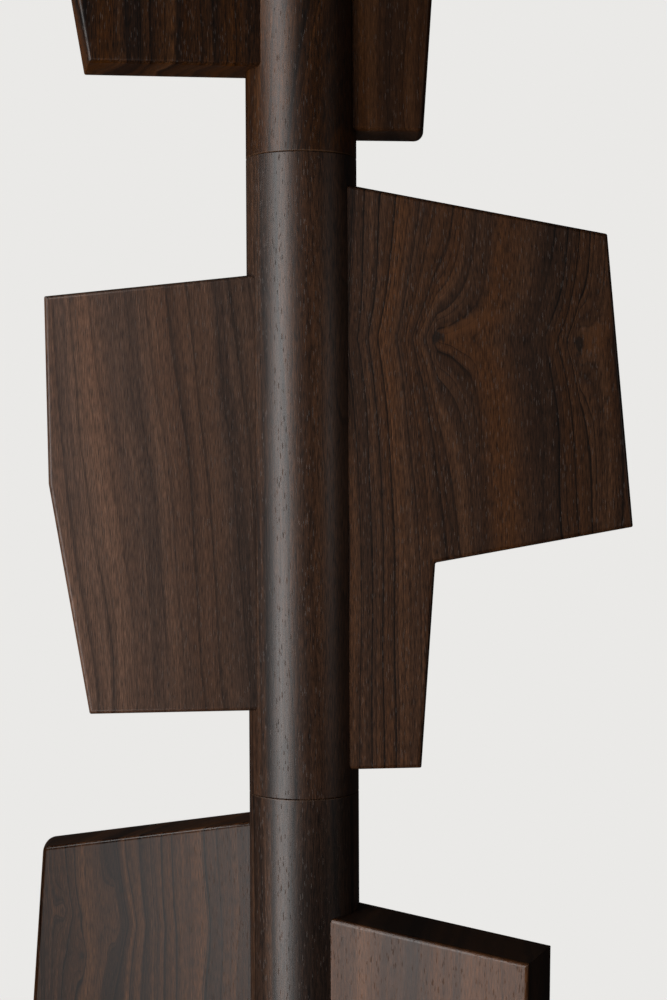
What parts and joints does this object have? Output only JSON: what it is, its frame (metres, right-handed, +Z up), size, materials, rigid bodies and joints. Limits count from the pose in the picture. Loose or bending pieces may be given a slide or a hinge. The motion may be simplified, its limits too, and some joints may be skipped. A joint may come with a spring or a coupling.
{
  "type": "mashrabiya screen post",
  "caption": "Slender round screen post in dark satin hardwood, stacked in turning sections that each carry a plain and a stepped flat wing, fixed upright at foot and head.",
  "frame": {"origin": "centre of the foot's end face, on the post's axis", "axes": "+Z up the post's axis, +X along the middle section's stepped wing, -Y the side that the picture shows"},
  "size_m": [0.3505, 0.1854, 1.0317],
  "materials": {
    "post_wood": "satin varnished dark walnut, turned round",
    "plain_wing_wood": "satin varnished dark walnut, straight striped grain",
    "stepped_wing_wood": "satin varnished dark walnut, reddish figured grain with knots"
  },
  "bodies": {
    "bottom_section": {"bottom_post_section": "post_wood", "bottom_plain_wing": "plain_wing_wood", "bottom_stepped_wing": "stepped_wing_wood"},
    "middle_section": {"middle_post_section": "post_wood", "middle_plain_wing": "plain_wing_wood", "middle_stepped_wing": "stepped_wing_wood"},
    "top_section": {"top_post_section": "post_wood", "top_plain_wing": "plain_wing_wood", "top_stepped_wing": "stepped_wing_wood"}
  },
  "joints": [
    {"name": "middle_turn", "type": "hinge", "parent": "bottom_section", "child": "middle_section", "pos_m": [0, 0, 0.344], "axis": [0, 0, 1], "continuous": true},
    {"name": "top_turn", "type": "hinge", "parent": "middle_section", "child": "top_section", "pos_m": [0, 0, 0.688], "axis": [0, 0, 1], "continuous": true}
  ]
}
